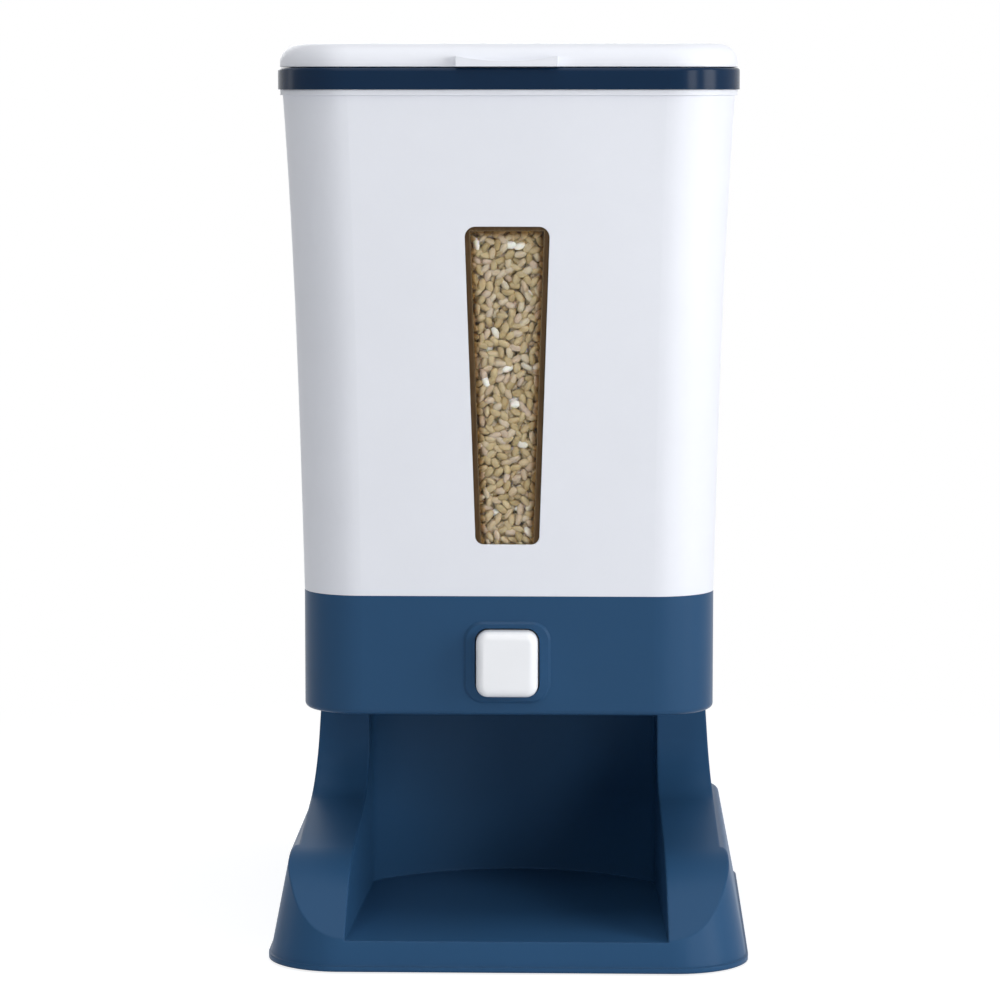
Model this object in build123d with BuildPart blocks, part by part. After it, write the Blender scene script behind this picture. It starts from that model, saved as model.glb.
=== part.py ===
from build123d import *

import math
import os

# Rice dispenser: a flared bin with a window stands on a dispensing housing, which a C-shaped stand
# holds above an open bay. A push button in the housing carries a slotted gate under the hopper.
# Millimetres. +Z is up and the front faces -Y. The origin is on the table, under the middle.

# ---- Driving dimensions ----------------------------------------------------------------------

# Stack, from the table up
foot_lift = 1.0  # the rubber feet hold the stand's rim this far off the table
stand_height = 121.0
housing_height = 57.2
bin_height = 239.4
collar_height = 10.2
lid_gap = 0.4
lid_height = 10.8

# Plan of the housing, and the outward flare of the other pieces against it
housing_width = 197.0
housing_depth = 226.0
plan_corner = 29.0
corner_growth = 0.4  # corner radius gained with each mm of flare
bin_flare = 9.0
bin_lean = 0.6  # share of the flare that is a straight lean, the rest comes as a curve
rim_flare = 9.9
collar_flare = 10.95
lid_flare = 10.0
column_inset = 2.3
column_lean = 0.35
foot_flare = 17.0

# Walls and fits
wall = 2.5
fit = 0.3  # between pieces that seat in each other, and between faces that pass each other
pin_fit = 0.05  # round pins, stems and screws

# Stand
skirt_height = 51.0
skirt_lean = 0.19  # inward, per mm of height
skirt_shoulder = 3.0
plinth_height = 2.6
plinth_proud = 0.5
tray_floor_height = 14.4
tray_front_half_width = 76.6
bay_rear_half_width = 72.0
bay_side_depth = 127.0  # from the housing's front face back to the end of the straight sides
bay_depth = 160.0  # from the housing's front face back to the middle of the rear wall
bay_rear_corner = 8.0
cheek_nose_height = 46.0
cheek_rise = 0.25
column_front_depth = 109.0  # from the housing's front face back to the column's front face
cheek_root_radius = 28.0
cheek_nose_radius = 60.0
cheek_nose_setback = 15.0  # behind the housing's front face
tray_lip_setback = 2.0  # behind the stand's front edge
tray_lip_slope = 0.5
tray_lip_radius = 2.0
column_top_wall = 3.0
stand_rib = 2.0
stand_rib_lift = 1.5

# Rubber feet
foot_radius = 9.0
foot_pad_height = 2.5
foot_stem_radius = 3.0
foot_stem_height = 6.0
foot_inset = 29.0  # from the stand's edge in to the middle of a foot
foot_boss_radius = 11.0
foot_boss_height = 24.0

# Housing front: raised boss and push button
housing_edge_radius = 2.5
boss_width = 41.3
boss_height = 39.1
boss_corner = 9.3
boss_proud = 1.2
boss_chamfer = 1.1
boss_height_above_floor = 25.5  # from the housing's foot to the middle of boss and button
button_width = 29.3
button_height = 31.4
button_corner = 5.6
button_edge_radius = 4.2
button_wall = 2.0
button_proud = 9.0  # in front of the boss
button_travel = 9.5
button_gap = 0.7
sleeve_wall = 1.8
sleeve_length = 10.0

# Gate under the hopper
throat_width = 56.0
throat_length = 8.0
throat_depth = 53.0  # from the housing's front face back to the throat
throat_height_above_floor = 46.5  # from the housing's foot to the throat's lower face
throat_flange = 2.5
gate_thickness = 3.0
gate_margin = 8.0  # gate plate past each end of the throat's width
gate_tail = 14.0  # closed plate behind the throat
push_plate_thickness = 3.0
push_plate_margin = 3.2  # push plate past the button, all round
button_plug_length = 6.0
gate_ear_length = 11.0
gate_ear_height = 9.0
seal_thickness = 1.7
seal_margin = 4.0
frame_floor = 2.5
frame_front_margin = 14.0  # frame in front of the throat
frame_rear_margin = 20.0
frame_rail_width = 16.0

# Return springs
spring_radius = 3.0  # middle of the wire
spring_wire = 0.8
spring_turns = 7
spring_seat_gap = 0.1

# Hopper funnel
funnel_wall = 2.4
funnel_throat_rise = 3.0
funnel_reach = 8.0  # the sloped walls are drawn this far past the housing's plan, then trimmed
funnel_front_rise = 27.0
funnel_rear_rise = 97.0
funnel_corner = 36.0
funnel_throat_corner = 2.0
funnel_fit = 0.4

# Outlet chute
chute_wall = 2.0
chute_mouth_margin = 3.0
chute_outlet_width = 44.0
chute_outlet_length = 18.0
chute_drop = 5.0  # below the housing
chute_flange_lift = 6.0
chute_flange_thickness = 2.5
chute_flange_width = 88.0
chute_flange_length = 42.0

# Bin
rim_thickness = 2.7
ledge_height = 3.0
spigot_depth = 6.0
spigot_wall = 2.2
hopper_rib = 2.0
hopper_rib_depth = 9.0
hopper_rib_x = 45.0
hopper_rib_y = 50.0
window_foot_height = 24.8  # above the bin's foot
window_height = 150.6
window_top_width = 40.2
window_bottom_width = 30.2
window_top_corner = 5.0
window_bottom_corner = 4.0
window_set_in = 0.4
pane_fit = 0.1
pane_lip = 3.0
pane_lip_thickness = 1.5

# Collar ring and lid
collar_wall = 2.2
collar_spigot_depth = 8.0
collar_edge_radius = 1.5
lid_edge_radius = 9.0
lid_wall = 2.4
tab_width = 47.5
tab_depth = 6.9
tab_height = 5.0
tab_scoop = 2.3
liner_thickness = 2.0
liner_lift = 1.0
liner_skirt_gap = 1.8  # between the liner's skirt and the collar's bore
liner_skirt_wall = 2.0
liner_skirt_depth = 5.0
gasket_height = 2.6
gasket_lift = 0.8

# Lid hinge
hinge_x = 62.0
hinge_radius = 2.8
hinge_axis_gap = 0.35  # between the knuckles and the collar's rear face
hinge_axis_height = 2.2  # above the collar's top
knuckle_length = 8.0
lid_knuckle_length = 12.0
hinge_bracket_depth = 8.0
pin_radius = 1.2

# Screws
screw_radius = 1.9
screw_head_radius = 3.7
screw_head_height = 2.4
screw_boss_radius = 5.0
small_screw_radius = 1.4
small_screw_head_radius = 2.8
small_screw_head_height = 1.8
small_boss_radius = 3.6
stand_screw_front = (84.5, 14.0)
stand_screw_rear = (58.0, 94.0)
stand_screw_bite = 9.0
bin_screw_inset = 3.0  # from the spigot's inner face in to the screw's axis, at the corner
bin_screw_head_depth = 7.0  # from the post's top down to the screw head's seat
bin_screw_bite = 9.0
gate_screw_bite = 6.0
chute_screw_x = 38.0
chute_screw_y = 15.0

# ---- Places worked out from them -------------------------------------------------------------

stand_foot_z = foot_lift
stand_top_z = stand_foot_z + stand_height
housing_top_z = stand_top_z + housing_height
bin_top_z = housing_top_z + bin_height
collar_top_z = bin_top_z + collar_height
lid_foot_z = collar_top_z + lid_gap
lid_top_z = lid_foot_z + lid_height

housing_front_y = -housing_depth / 2
housing_floor_z = stand_top_z + wall
boss_front_y = housing_front_y - boss_proud
button_z = stand_top_z + boss_height_above_floor
button_front_y = boss_front_y - button_proud
sleeve_rear_y = housing_front_y + wall + sleeve_length
push_plate_front_y = sleeve_rear_y + fit

throat_z = stand_top_z + throat_height_above_floor
throat_front_y = housing_front_y + throat_depth
throat_rear_y = throat_front_y + throat_length
throat_y = (throat_front_y + throat_rear_y) / 2
gate_top_z = throat_z - seal_thickness - fit
gate_foot_z = gate_top_z - gate_thickness
gate_half_width = throat_width / 2 + gate_margin
frame_top_z = throat_z
frame_floor_z = gate_foot_z - fit
frame_foot_z = frame_floor_z - frame_floor
frame_front_y = throat_front_y - frame_front_margin
frame_rear_y = throat_rear_y + frame_rear_margin
frame_half_width = gate_half_width + fit + frame_rail_width
gate_screw_x = frame_half_width - frame_rail_width / 2
gate_screw_ys = (frame_front_y + small_boss_radius + 1.0, frame_rear_y - small_boss_radius - 1.0)
funnel_throat_z = throat_z + funnel_throat_rise

foot_x = housing_width / 2 + foot_flare - foot_inset
foot_y = housing_depth / 2 + foot_flare - foot_inset
bay_floor_z = stand_foot_z + tray_floor_height
bin_floor_z = housing_top_z + ledge_height
spigot_foot_z = housing_top_z - spigot_depth
spigot_inset = wall + fit
hinge_y = housing_depth / 2 + collar_flare + hinge_axis_gap + hinge_radius
hinge_z = collar_top_z + hinge_axis_height


# ---- Shared shapes ---------------------------------------------------------------------------


def curved_flare(total, lean, share):
    """Flare at a share of the side's height: partly a straight lean, partly a curve."""
    return total * (lean * share + (1 - lean) * share**3)


def plan(z, flare, inset=0.0):
    """Rounded rectangle at height z: the housing's plan, flared out, then inset for an inner face."""
    with BuildSketch(Plane.XY.offset(z)) as section:
        RectangleRounded(
            housing_width + 2 * (flare - inset),
            housing_depth + 2 * (flare - inset),
            plan_corner + corner_growth * flare - inset,
        )
    return section.sketch


def bin_flare_at(z):
    """Flare of the bin's side at height z."""
    return curved_flare(bin_flare, bin_lean, (z - housing_top_z) / bin_height)


def column_flare_at(z):
    """Flare of the column's side at height z: set in at the top, out to the skirt's at the foot."""
    return curved_flare(foot_flare + column_inset, column_lean, (stand_top_z - z) / stand_height) - column_inset


def bin_plans(inset, foot_z=housing_top_z):
    """Sections of the bin's side, from foot_z up to the rim."""
    levels = [foot_z] + [housing_top_z + bin_height * share for share in (0.34, 0.67, 1.0)]
    return [plan(z, bin_flare_at(z), inset) for z in levels]


def column_plans(inset, top_z=stand_top_z):
    """Sections of the stand's column, which flares towards the foot."""
    levels = [stand_foot_z + stand_height * share for share in (0.0, 0.2, 0.4, 0.7)] + [top_z]
    return [plan(z, column_flare_at(z), inset) for z in levels]


def skirt_plans(inset):
    """Foot and shoulder section of the stand's skirt, with straight leaning sides."""
    levels = (stand_foot_z, stand_foot_z + skirt_height)
    return [plan(z, foot_flare - skirt_lean * (z - stand_foot_z), inset) for z in levels]


def block(x, y, z, corner=0.0):
    """Box between three pairs of limits, with its upright edges rounded."""
    with BuildPart() as solid:
        with BuildSketch(Plane((sum(x) / 2, sum(y) / 2, z[0]))):
            if corner:
                RectangleRounded(x[1] - x[0], y[1] - y[0], corner)
            else:
                Rectangle(x[1] - x[0], y[1] - y[0])
        extrude(amount=z[1] - z[0])
    return solid.part


def screw_group(places, seat_z, length, radius, head_radius, head_height, up=True):
    """Pan-head screws with their heads' bearing faces at seat_z, pointing up or down."""
    way = 1 if up else -1
    with BuildPart() as screws:
        with BuildSketch(Plane.XY.offset(seat_z)):
            with Locations(*places):
                Circle(head_radius)
        extrude(amount=-way * head_height)
        with BuildSketch(Plane.XY.offset(seat_z)):
            with Locations(*places):
                Circle(radius)
        extrude(amount=way * length)
        outer_rims = screws.edges().filter_by(GeomType.CIRCLE).filter_by(
            lambda edge: abs(edge.center().Z - (seat_z - way * head_height)) < 1e-3
        )
        fillet(outer_rims, head_height / 3)
    return screws.part


os.makedirs("parts", exist_ok=True)


def save(part, name):
    """Label a finished piece and write it."""
    part.label = name
    export_step(part, f"parts/{name}.step")


# ---- Stand -----------------------------------------------------------------------------------

# The side cut leaves the two cheeks: from the tray's lip it climbs to a well rounded nose, then as a
# gentle ramp to the column's front face, with its root rounded. What lies in front and above is bay.
# The climb crosses the skirt's round corners, which gives the arcs seen from the front.
cheek_front_y = housing_front_y + cheek_nose_setback
column_front_y = housing_front_y + column_front_depth
ramp_foot = (cheek_front_y, stand_foot_z + cheek_nose_height)
ramp_head = (column_front_y, ramp_foot[1] + cheek_rise * (column_front_y - cheek_front_y))
stand_front_y = housing_front_y - foot_flare
tray_lip = (stand_front_y + tray_lip_setback, bay_floor_z)
clear_front_y = stand_front_y - 20
clear_front_z = bay_floor_z - tray_lip_slope * (tray_lip[0] - clear_front_y)
clear_top_z = stand_top_z + 10


def side_cut(grow):
    """Outline, seen from the side, of what the bay takes off the cheeks, grown for the inner face."""
    with BuildSketch(Plane.YZ) as outline:
        with BuildLine():
            FilletPolyline(
                (clear_front_y, clear_front_z),
                tray_lip,
                ramp_foot,
                ramp_head,
                (column_front_y, clear_top_z),
                radius=(tray_lip_radius, cheek_nose_radius, cheek_root_radius),
            )
            Polyline(
                (column_front_y, clear_top_z),
                (clear_front_y, clear_top_z),
                (clear_front_y, clear_front_z),
            )
        make_face()
        if grow:
            offset(amount=grow, kind=Kind.INTERSECTION)
    return outline.sketch


def bay_plan(z, grow):
    """Plan of the bay: sides that close in slightly towards an arched rear wall."""
    side_y = housing_front_y + bay_side_depth
    slope = (tray_front_half_width - bay_rear_half_width) / bay_side_depth
    front_half_width = tray_front_half_width + slope * (housing_front_y - clear_front_y)
    with BuildSketch(Plane.XY.offset(z)) as outline:
        with BuildLine():
            Polyline(
                (-bay_rear_half_width, side_y),
                (-front_half_width, clear_front_y),
                (front_half_width, clear_front_y),
                (bay_rear_half_width, side_y),
            )
            ThreePointArc(
                (bay_rear_half_width, side_y),
                (0, housing_front_y + bay_depth),
                (-bay_rear_half_width, side_y),
            )
        make_face()
        fillet(outline.vertices().group_by(Axis.Y)[-1], bay_rear_corner)
        if grow:
            offset(amount=grow)
    return outline.sketch


with BuildPart() as skirt:
    loft(sections=skirt_plans(0))
    fillet(skirt.edges().group_by(Axis.Z)[-1], skirt_shoulder)
    extrude(plan(stand_foot_z, foot_flare + plinth_proud), amount=plinth_height)

with BuildPart() as skirt_hollow:
    loft(sections=skirt_plans(wall))
    split(bisect_by=Plane.XY.offset(stand_foot_z + skirt_height - wall), keep=Keep.BOTTOM)

with BuildPart() as stand_form:
    loft(sections=column_plans(0))
    add(skirt.part)
    extrude(side_cut(0), amount=housing_width, both=True, mode=Mode.SUBTRACT)
    extrude(bay_plan(bay_floor_z, 0), amount=stand_height, mode=Mode.SUBTRACT)


with BuildPart() as stand_hollow:
    loft(sections=column_plans(wall, stand_top_z - column_top_wall))
    add(skirt_hollow.part)
    extrude(side_cut(wall), amount=housing_width, both=True, mode=Mode.SUBTRACT)
    extrude(bay_plan(bay_floor_z - wall, wall), amount=stand_height, mode=Mode.SUBTRACT)

# ribs and foot bosses under the tray, and two webs in the column, trimmed to the stand's outer form
with BuildPart() as stand_ribs:
    with BuildSketch(Plane.XY.offset(stand_foot_z + stand_rib_lift)):
        with GridLocations(2 * foot_x, 2 * foot_y, 2, 2):
            Circle(foot_boss_radius)
        with GridLocations(0, foot_y / 2, 1, 5):
            Rectangle(2 * housing_width, stand_rib)
        with GridLocations(2 * foot_x / 3, 0, 4, 1):
            Rectangle(stand_rib, 2 * housing_depth)
    extrude(amount=foot_boss_height)
    with BuildSketch(Plane.XY.offset(stand_foot_z + stand_rib_lift)):
        with Locations((0, housing_depth / 2)):
            with GridLocations(2 * foot_x / 3, 0, 2, 1):
                Rectangle(stand_rib, housing_depth)
    extrude(amount=stand_height - stand_rib_lift - column_top_wall / 2)
    add(stand_form.part, mode=Mode.INTERSECT)

stand_screw_places = [
    (side * x, y) for side in (-1, 1) for x, y in (stand_screw_front, stand_screw_rear)
]

with BuildPart() as stand:
    add(stand_form.part)
    add(stand_hollow.part, mode=Mode.SUBTRACT)
    add(stand_ribs.part)
    with BuildSketch(Plane.XY.offset(foot_pad_height)):
        with GridLocations(2 * foot_x, 2 * foot_y, 2, 2):
            Circle(foot_stem_radius + pin_fit)
    extrude(amount=foot_stem_height + fit, mode=Mode.SUBTRACT)
    with BuildSketch(Plane.XY.offset(stand_top_z)):
        with Locations(*stand_screw_places):
            Circle(screw_radius + pin_fit)
    extrude(amount=-2 * column_top_wall, mode=Mode.SUBTRACT)

save(stand.part, "stand")


# ---- Rubber feet -----------------------------------------------------------------------------

foot_names = {(-1, -1): "front_left", (1, -1): "front_right", (-1, 1): "rear_left", (1, 1): "rear_right"}

for (side, end), corner_name in foot_names.items():
    with BuildPart() as rubber_foot:
        with BuildSketch(Plane((side * foot_x, end * foot_y, 0))):
            Circle(foot_radius)
        extrude(amount=foot_pad_height)
        fillet(rubber_foot.edges().group_by(Axis.Z)[0], foot_pad_height / 4)
        with BuildSketch(Plane((side * foot_x, end * foot_y, foot_pad_height))):
            Circle(foot_stem_radius)
        extrude(amount=foot_stem_height)
    save(rubber_foot.part, f"rubber_foot_{corner_name}")


# ---- Dispenser housing -----------------------------------------------------------------------

front = Plane.XZ.offset(-housing_front_y)  # the housing's front face, looked at from outside


def button_outline(plane, grow=0.0):
    """The button's rounded rectangle on an upright plane, grown for gaps and walls."""
    with BuildSketch(plane) as outline:
        with Locations((0, button_z)):
            RectangleRounded(button_width + 2 * grow, button_height + 2 * grow, button_corner + grow)
    return outline.sketch


corner_reach = (plan_corner - spigot_inset - spigot_wall - bin_screw_inset) / math.sqrt(2)
bin_screw_x = housing_width / 2 - plan_corner + corner_reach
bin_screw_y = housing_depth / 2 - plan_corner + corner_reach
bin_screw_places = [(x, y) for x in (-bin_screw_x, bin_screw_x) for y in (-bin_screw_y, bin_screw_y)]
bin_post_top_z = spigot_foot_z - fit
bin_screw_seat_z = bin_post_top_z - bin_screw_head_depth

chute_mouth = (throat_width + 2 * chute_mouth_margin, throat_length + 2 * chute_mouth_margin)
chute_outlet = (chute_outlet_width, chute_outlet_length)
chute_top_z = frame_foot_z - fit
chute_foot_z = stand_top_z - chute_drop
chute_flange_z = housing_floor_z + chute_flange_lift
chute_screw_places = [
    (x, throat_y + y) for x in (-chute_screw_x, chute_screw_x) for y in (-chute_screw_y, chute_screw_y)
]


def chute_size(z, wall_thickness=0.0):
    """Width and length of the chute at height z."""
    share = (chute_top_z - z) / (chute_top_z - chute_foot_z)
    return [
        mouth + (outlet - mouth) * share + 2 * wall_thickness
        for mouth, outlet in zip(chute_mouth, chute_outlet)
    ]


# the chute is widest across at the floor's upper face and deepest at its lower face
chute_hole = (
    chute_size(housing_floor_z, chute_wall + fit)[0],
    chute_size(stand_top_z, chute_wall + fit)[1],
)

with BuildPart() as dispenser_housing:
    extrude(plan(stand_top_z, 0), amount=housing_height)
    fillet(dispenser_housing.edges().group_by(Axis.Z)[0], housing_edge_radius)
    extrude(plan(housing_floor_z, 0, wall), amount=housing_height, mode=Mode.SUBTRACT)
    # raised boss round the button
    with BuildSketch(front):
        with Locations((0, button_z)):
            RectangleRounded(boss_width, boss_height, boss_corner)
    extrude(amount=boss_proud)
    chamfer(dispenser_housing.faces().sort_by(Axis.Y)[0].edges(), boss_chamfer)
    # sleeve that guides the button
    sleeve_rear = Plane.XZ.offset(-sleeve_rear_y)
    extrude(button_outline(sleeve_rear, button_gap + sleeve_wall), amount=sleeve_length)
    extrude(
        button_outline(sleeve_rear, button_gap),
        amount=sleeve_rear_y - boss_front_y,
        mode=Mode.SUBTRACT,
    )
    # bosses on the floor for the screws of the stand and of the chute, and posts for the bin's
    with BuildSketch(Plane.XY.offset(housing_floor_z)):
        with Locations(*stand_screw_places):
            Circle(screw_boss_radius)
    extrude(amount=stand_screw_bite)
    with BuildSketch(Plane.XY.offset(housing_floor_z)):
        with Locations(*chute_screw_places):
            Circle(small_boss_radius)
    extrude(amount=chute_flange_lift)
    with BuildSketch(Plane.XY.offset(housing_floor_z)):
        with Locations(*bin_screw_places):
            Circle(screw_head_radius + wall)
    extrude(amount=bin_post_top_z - housing_floor_z)
    # outlet and screw holes
    with BuildSketch(Plane.XY.offset(stand_top_z)):
        with Locations((0, throat_y)):
            Rectangle(*chute_hole)
    extrude(amount=2 * wall, mode=Mode.SUBTRACT)
    with BuildSketch(Plane.XY.offset(stand_top_z)):
        with Locations(*stand_screw_places):
            Circle(screw_radius + pin_fit)
    extrude(amount=stand_screw_bite + fit, mode=Mode.SUBTRACT)
    with BuildSketch(Plane.XY.offset(chute_flange_z)):
        with Locations(*chute_screw_places):
            Circle(small_screw_radius + pin_fit)
    extrude(amount=-chute_flange_lift, mode=Mode.SUBTRACT)
    with BuildSketch(Plane.XY.offset(stand_top_z)):
        with Locations(*bin_screw_places):
            Circle(screw_head_radius + fit)
    extrude(amount=bin_screw_seat_z - stand_top_z, mode=Mode.SUBTRACT)
    with BuildSketch(Plane.XY.offset(bin_screw_seat_z)):
        with Locations(*bin_screw_places):
            Circle(screw_radius + pin_fit)
    extrude(amount=housing_height, mode=Mode.SUBTRACT)

save(dispenser_housing.part, "dispenser_housing")

save(
    screw_group(
        stand_screw_places,
        stand_top_z - column_top_wall,
        column_top_wall + stand_screw_bite,
        screw_radius,
        screw_head_radius,
        screw_head_height,
    ),
    "stand_screws",
)
save(
    screw_group(
        bin_screw_places,
        bin_screw_seat_z,
        bin_screw_head_depth + fit + bin_screw_bite,
        screw_radius,
        screw_head_radius,
        screw_head_height,
    ),
    "bin_screws",
)


# ---- Push button, slide gate and return springs ----------------------------------------------

button_length = push_plate_front_y - button_front_y

with BuildPart() as push_button:
    extrude(button_outline(Plane.XZ.offset(-push_plate_front_y)), amount=button_length)
    fillet(push_button.faces().sort_by(Axis.Y)[0].edges(), button_edge_radius)
    extrude(
        button_outline(Plane.XZ.offset(-push_plate_front_y), -button_wall),
        amount=button_length - button_wall,
        mode=Mode.SUBTRACT,
    )

save(push_button.part, "push_button")

push_plate_rear_y = push_plate_front_y + push_plate_thickness
gate_rear_y = throat_rear_y + gate_tail
gate_land = button_travel - throat_length  # closed plate in front of the throat, at rest
spring_x = gate_screw_x
spring_z = (frame_foot_z + frame_top_z) / 2
spring_front_y = push_plate_rear_y + spring_seat_gap
spring_rear_y = frame_front_y - spring_seat_gap
peg_radius = spring_radius - spring_wire / 2 - 2 * fit
peg_length = (spring_rear_y - spring_front_y - button_travel) / 4
print(f"gate overlaps the throat by {gate_land:.1f} mm when closed")

with BuildPart() as slide_gate:
    # plate with the slot that meets the throat when the button is pressed
    add(
        block(
            (-gate_half_width, gate_half_width),
            (push_plate_front_y, gate_rear_y),
            (gate_foot_z, gate_top_z),
        )
    )
    with BuildSketch(Plane.XY.offset(gate_foot_z)):
        with Locations((0, throat_y - button_travel)):
            Rectangle(throat_width, throat_length)
    extrude(amount=gate_thickness, mode=Mode.SUBTRACT)
    # upright plate behind the button, with the plug that the button snaps on
    plate_rear = Plane.XZ.offset(-push_plate_rear_y)
    with BuildSketch(plate_rear):
        with Locations((0, (button_z - button_height / 2 - push_plate_margin + gate_top_z) / 2)):
            Rectangle(
                button_width + 2 * push_plate_margin,
                gate_top_z - (button_z - button_height / 2 - push_plate_margin),
            )
        with Locations((0, spring_z)):
            Rectangle(2 * (gate_half_width + gate_ear_length), gate_ear_height)
    extrude(amount=push_plate_thickness)
    extrude(
        button_outline(plate_rear, -button_wall - pin_fit),
        amount=push_plate_thickness + button_plug_length,
    )
    extrude(
        button_outline(Plane.XZ.offset(-push_plate_front_y), -2 * button_wall - pin_fit),
        amount=button_plug_length,
        mode=Mode.SUBTRACT,
    )
    with BuildSketch(plate_rear):
        with Locations((-spring_x, spring_z), (spring_x, spring_z)):
            Circle(peg_radius)
    extrude(amount=-peg_length)

save(slide_gate.part, "slide_gate")


def helix_point(side, turn):
    """Point on the spring's wire after so many turns."""
    angle = 2 * math.pi * turn
    return Vector(
        side * (spring_x + spring_radius * math.cos(angle)),
        spring_front_y
        + spring_wire / 2
        + (spring_rear_y - spring_front_y - spring_wire) * turn / spring_turns,
        spring_z + spring_radius * math.sin(angle),
    )


def helix_heading(side, turn):
    """Direction of the wire there."""
    angle = 2 * math.pi * turn
    return Vector(
        -side * 2 * math.pi * spring_radius * math.sin(angle),
        (spring_rear_y - spring_front_y - spring_wire) / spring_turns,
        2 * math.pi * spring_radius * math.cos(angle),
    ).normalized()


spring_gap = (spring_rear_y - spring_front_y - spring_wire) / spring_turns - spring_wire
print(f"least gap between the springs' turns {spring_gap:.2f} mm")

for side, side_name in ((-1, "left"), (1, "right")):
    with BuildPart() as return_spring:
        with BuildLine() as wire:
            # each quarter turn is a pair of arcs that meet the next without a kink
            for quarter in range(4 * spring_turns):
                start = helix_point(side, quarter / 4)
                end = helix_point(side, (quarter + 1) / 4)
                heading = helix_heading(side, quarter / 4)
                end_heading = helix_heading(side, (quarter + 1) / 4)
                chord = end - start
                turned = 2 * (1 - heading.dot(end_heading))
                along = chord.dot(heading + end_heading)
                reach = (math.sqrt(along**2 + turned * chord.dot(chord)) - along) / turned
                joint_point = (start + end + (heading - end_heading) * reach) / 2
                joint_heading = (end - end_heading * reach) - (start + heading * reach)
                TangentArc(start, joint_point, tangent=heading)
                TangentArc(joint_point, end, tangent=joint_heading.normalized())
        with BuildSketch(Plane(origin=helix_point(side, 0), z_dir=helix_heading(side, 0))):
            Circle(spring_wire / 2)
        sweep()
    save(return_spring.part, f"return_spring_{side_name}")


# ---- Gate frame, throat seal and outlet chute ------------------------------------------------

gate_screw_places = [(x, y) for x in (-gate_screw_x, gate_screw_x) for y in gate_screw_ys]

with BuildPart() as gate_frame:
    add(
        block(
            (-frame_half_width, frame_half_width),
            (frame_front_y, frame_rear_y),
            (frame_foot_z, frame_top_z),
            2.0,
        )
    )
    channel_width = 2 * (gate_half_width + fit)
    with BuildSketch(Plane.XY.offset(frame_floor_z)):
        with Locations((0, (frame_front_y + frame_rear_y) / 2)):
            Rectangle(channel_width, 2 * (frame_rear_y - frame_front_y))
    extrude(amount=frame_top_z - frame_floor_z, mode=Mode.SUBTRACT)
    with BuildSketch(Plane.XY.offset(frame_foot_z)):
        with Locations((0, throat_y)):
            Rectangle(throat_width + 2 * fit, throat_length + 2 * fit)
        with Locations(*gate_screw_places):
            Circle(small_screw_radius + pin_fit)
    extrude(amount=frame_top_z - frame_foot_z, mode=Mode.SUBTRACT)
    with BuildSketch(Plane.XZ.offset(-frame_front_y)):
        with Locations((-spring_x, spring_z), (spring_x, spring_z)):
            Circle(peg_radius)
    extrude(amount=peg_length)

save(gate_frame.part, "gate_frame")

with BuildPart() as throat_seal:
    with BuildSketch(Plane.XY.offset(throat_z)):
        with Locations((0, throat_y)):
            RectangleRounded(
                throat_width + 2 * seal_margin,
                throat_length + 2 * seal_margin,
                seal_margin / 2,
            )
            Rectangle(throat_width, throat_length, mode=Mode.SUBTRACT)
    extrude(amount=-seal_thickness)

save(throat_seal.part, "throat_seal")


def chute_sections(wall_thickness):
    """The chute's mouth and outlet, as rectangles."""
    sections = []
    for z in (chute_top_z, chute_foot_z):
        with BuildSketch(Plane((0, throat_y, z))) as section:
            Rectangle(*chute_size(z, wall_thickness))
        sections.append(section.sketch)
    return sections


with BuildPart() as outlet_chute:
    loft(sections=chute_sections(chute_wall), ruled=True)
    with BuildSketch(Plane((0, throat_y, chute_flange_z))):
        RectangleRounded(chute_flange_width, chute_flange_length, small_boss_radius)
    extrude(amount=chute_flange_thickness)
    with BuildSketch(Plane.XY.offset(chute_flange_z)):
        with Locations(*chute_screw_places):
            Circle(small_screw_radius + pin_fit)
    extrude(amount=chute_flange_thickness, mode=Mode.SUBTRACT)
    loft(sections=chute_sections(0), ruled=True, mode=Mode.SUBTRACT)

save(outlet_chute.part, "outlet_chute")

save(
    screw_group(
        chute_screw_places,
        chute_flange_z + chute_flange_thickness,
        chute_flange_thickness + chute_flange_lift - fit,
        small_screw_radius,
        small_screw_head_radius,
        small_screw_head_height,
        up=False,
    ),
    "chute_screws",
)
save(
    screw_group(
        gate_screw_places,
        frame_foot_z,
        frame_top_z - frame_foot_z + throat_flange + gate_screw_bite,
        small_screw_radius,
        small_screw_head_radius,
        small_screw_head_height,
    ),
    "gate_screws",
)


# ---- Hopper funnel ---------------------------------------------------------------------------

mouth_half_width = housing_width / 2 + funnel_reach
mouth_half_depth = housing_depth / 2 + funnel_reach
mouth_rise = funnel_rear_rise - funnel_front_rise
mouth_tilt = math.atan2(mouth_rise, 2 * mouth_half_depth)


def funnel_sections(lift, wall_thickness):
    """The throat and the tilted mouth that the funnel's sloped walls run between."""
    with BuildSketch(Plane((0, throat_y, funnel_throat_z + lift))) as throat:
        RectangleRounded(
            throat_width + 2 * wall_thickness,
            throat_length + 2 * wall_thickness,
            funnel_throat_corner,
        )
    mouth_z = funnel_throat_z + lift + (funnel_front_rise + funnel_rear_rise) / 2
    tilted = Plane(
        origin=(0, 0, mouth_z),
        x_dir=(1, 0, 0),
        z_dir=(0, -math.sin(mouth_tilt), math.cos(mouth_tilt)),
    )
    with BuildSketch(tilted) as mouth:
        RectangleRounded(
            2 * mouth_half_width,
            2 * mouth_half_depth / math.cos(mouth_tilt),
            funnel_corner,
        )
    return [throat.sketch, mouth.sketch]


funnel_lift = 1.15 * funnel_wall  # the wall measured upright, on slopes of about 30 degrees
funnel_mouth = funnel_sections(0, funnel_wall)[1]

with BuildPart() as funnel_block:
    loft(sections=funnel_sections(0, funnel_wall), ruled=True)
    extrude(funnel_mouth, amount=housing_height, dir=(0, 0, 1))

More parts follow.
